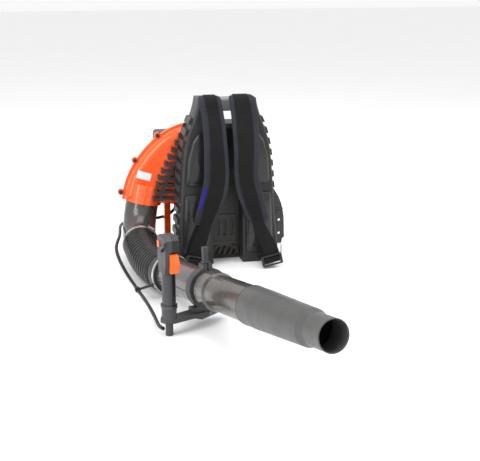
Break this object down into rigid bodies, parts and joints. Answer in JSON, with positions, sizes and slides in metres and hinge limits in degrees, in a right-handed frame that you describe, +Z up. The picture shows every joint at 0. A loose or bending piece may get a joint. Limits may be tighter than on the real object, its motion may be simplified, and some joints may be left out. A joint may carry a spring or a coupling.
{
  "type": "backpack leaf blower",
  "caption": "Petrol backpack leaf blower: harness frame, scroll fan housing, ribbed hose, throttle handle and long tapered blower tube.",
  "frame": {"origin": "middle of the flat underside of the base, under the harness frame", "axes": "+Z up, +Y from the harness towards the engine (the nozzle points along -Y), +X to the right of a viewer who faces the harness"},
  "size_m": [0.5655, 1.5062, 0.529],
  "materials": {
    "frame_plastic": "moulded charcoal plastic, fine grain",
    "handle_grey": "mid grey moulded plastic",
    "pad_foam": "smooth moulded foam skin",
    "webbing": "woven black polyester",
    "housing_orange": "glossy orange moulded plastic",
    "duct_plastic": "glossy warm dark grey",
    "bellows_rubber": "ribbed black rubber",
    "nozzle_plastic": "satin grey",
    "black_plastic": "black moulded plastic",
    "trigger_orange": "glossy orange",
    "steel": "zinc plated",
    "cast_alloy": "cast, bead blasted",
    "dark_steel": "black coated steel",
    "filter_foam": "pleated paper",
    "tank_plastic": "translucent white",
    "ceramic": "glazed ceramic"
  },
  "bodies": {
    "machine": {"back_frame": "frame_plastic", "carry_handle": "handle_grey", "vent_panel": "frame_plastic", "back_pads": "pad_foam", "shoulder_strap_left": "webbing", "shoulder_strap_right": "webbing", "strap_webbing": "webbing", "ladder_lock_buckles": "black_plastic", "hip_belt_bracket": "dark_steel", "d_ring": "steel", "antivibration_mounts": "bellows_rubber", "intake_grille": "frame_plastic", "fan_housing_front": "housing_orange", "fan_housing_rear": "housing_orange", "housing_screws": "dark_steel", "outlet_elbow": "duct_plastic", "rear_hose_clamp": "steel", "crankcase": "cast_alloy", "cylinder": "cast_alloy", "main_bearings": "steel", "spark_plug": "ceramic", "spark_plug_boot": "bellows_rubber", "ignition_coil": "black_plastic", "muffler": "cast_alloy", "muffler_guard": "dark_steel", "carburetor": "cast_alloy", "air_filter": "filter_foam", "air_filter_cover": "frame_plastic", "starter_housing": "frame_plastic", "engine_shroud": "frame_plastic", "fuel_tank": "tank_plastic", "throttle_cable": "bellows_rubber"},
    "crank": {"crankshaft": "steel", "fan_impeller": "black_plastic", "flywheel": "steel"},
    "piston": {"piston": "cast_alloy"},
    "rod": {"connecting_rod": "steel"},
    "starter_pulley": {"starter_pulley": "black_plastic"},
    "starter_grip": {"starter_grip": "black_plastic"},
    "choke": {"choke_lever": "black_plastic"},
    "throttle_valve": {"throttle_valve": "steel"},
    "primer": {"primer_bulb": "bellows_rubber"},
    "filter_knob": {"filter_knob": "black_plastic"},
    "fuel_cap": {"fuel_cap": "black_plastic"},
    "hose_middle": {"bellows_rear": "bellows_rubber"},
    "hose_front": {"bellows_front": "bellows_rubber", "front_hose_clamp": "steel", "swivel_collar": "black_plastic", "cable_clip": "black_plastic"},
    "tube": {"swivel_tube": "duct_plastic"},
    "handle": {"handle_bracket": "handle_grey", "grip_shell_left": "handle_grey", "grip_shell_right": "black_plastic", "trigger_pin": "steel"},
    "clamp_knob": {"clamp_knob": "handle_grey"},
    "trigger": {"throttle_trigger": "trigger_orange"},
    "cruise": {"cruise_lever": "black_plastic"},
    "stop": {"stop_switch": "trigger_orange"},
    "middle_tube": {"middle_tube": "duct_plastic"},
    "nozzle": {"nozzle": "nozzle_plastic"}
  },
  "joints": [
    {"name": "crank_spin", "type": "hinge", "parent": "machine", "child": "crank", "pos_m": [-0.01, 0.123, 0.235], "axis": [0, 1, 0], "continuous": true},
    {"name": "piston_slide", "type": "slide", "parent": "machine", "child": "piston", "axis": [0, 0, -1], "range_m": [0, 0.034]},
    {"name": "rod_swing", "type": "hinge", "parent": "piston", "child": "rod", "pos_m": [-0.01, 0.123, 0.31], "axis": [0, 1, 0], "range_deg": [-17, 17]},
    {"name": "starter_pull", "type": "slide", "parent": "machine", "child": "starter_grip", "axis": [1, 0, 0], "range_m": [0, 0.6], "stiffness_N_per_m": 25},
    {"name": "starter_pulley_spin", "type": "hinge", "parent": "machine", "child": "starter_pulley", "pos_m": [-0.01, 0.184, 0.235], "axis": [0, 1, 0], "range_deg": [0, 1230]},
    {"name": "choke_turn", "type": "hinge", "parent": "machine", "child": "choke", "pos_m": [-0.096, 0.17, 0.311], "axis": [0, -1, 0], "range_deg": [0, 75]},
    {"name": "throttle_turn", "type": "hinge", "parent": "machine", "child": "throttle_valve", "pos_m": [-0.078, 0.123, 0.311], "axis": [0, 1, 0], "range_deg": [0, 72]},
    {"name": "primer_press", "type": "slide", "parent": "machine", "child": "primer", "axis": [0, 0, 1], "range_m": [0, 0.004], "stiffness_N_per_m": 300},
    {"name": "filter_knob_turn", "type": "hinge", "parent": "machine", "child": "filter_knob", "pos_m": [-0.192, 0.139, 0.334], "axis": [-1, 0, 0], "continuous": true},
    {"name": "fuel_cap_turn", "type": "hinge", "parent": "machine", "child": "fuel_cap", "pos_m": [-0.084, 0.128, 0.185], "axis": [0, 0, 1], "continuous": true},
    {"name": "hose_yaw", "type": "hinge", "parent": "machine", "child": "hose_middle", "pos_m": [-0.27375, -0.19044, 0.06324], "axis": [0, 0, 1], "range_deg": [-25, 25], "deforming": ["bellows_rear", "throttle_cable"]},
    {"name": "hose_pitch", "type": "hinge", "parent": "hose_middle", "child": "hose_front", "pos_m": [-0.25394, -0.31366, 0.05512], "axis": [-0.9736, -0.2284, 0], "range_deg": [-15, 30], "deforming": ["bellows_front"]},
    {"name": "tube_swivel", "type": "hinge", "parent": "hose_front", "child": "tube", "pos_m": [-0.172, -0.663, 0.103], "axis": [0.2263, -0.965, 0.1323], "range_deg": [-60, 60]},
    {"name": "handle_slide", "type": "slide", "parent": "tube", "child": "handle", "axis": [0.2263, -0.965, 0.1323], "range_m": [-0.05, 0.02]},
    {"name": "clamp_knob_turn", "type": "hinge", "parent": "handle", "child": "clamp_knob", "pos_m": [-0.17411, -0.65399, 0.17239], "axis": [-0.0302, 0.1288, 0.9912], "continuous": true},
    {"name": "trigger_pull", "type": "hinge", "parent": "handle", "child": "trigger", "pos_m": [-0.27418, -0.72677, 0.216], "axis": [0.9744, 0.225, 0], "range_deg": [0, 14], "stiffness_Nm_per_rad": 0.6},
    {"name": "cruise_turn", "type": "hinge", "parent": "handle", "child": "cruise", "pos_m": [-0.30258, -0.72819, 0.236], "axis": [0.9744, 0.225, 0], "range_deg": [0, 35]},
    {"name": "stop_press", "type": "slide", "parent": "handle", "child": "stop", "axis": [0.9744, 0.225, 0], "range_m": [0, 0.003], "stiffness_N_per_m": 300},
    {"name": "middle_tube_twist", "type": "hinge", "parent": "tube", "child": "middle_tube", "pos_m": [-0.15842, -0.7209, 0.11094], "axis": [0.2263, -0.965, 0.1323], "range_deg": [0, 20]},
    {"name": "nozzle_twist", "type": "hinge", "parent": "middle_tube", "child": "nozzle", "pos_m": [-0.1041, -0.95251, 0.14268], "axis": [0.2263, -0.965, 0.1323], "range_deg": [0, 20]}
  ],
  "couplings": [
    {"joint": "starter_pulley_spin", "follows": "starter_pull", "rad_per_m": 35.714},
    {"joint": "throttle_turn", "follows": "trigger_pull", "ratio": 5}
  ]
}
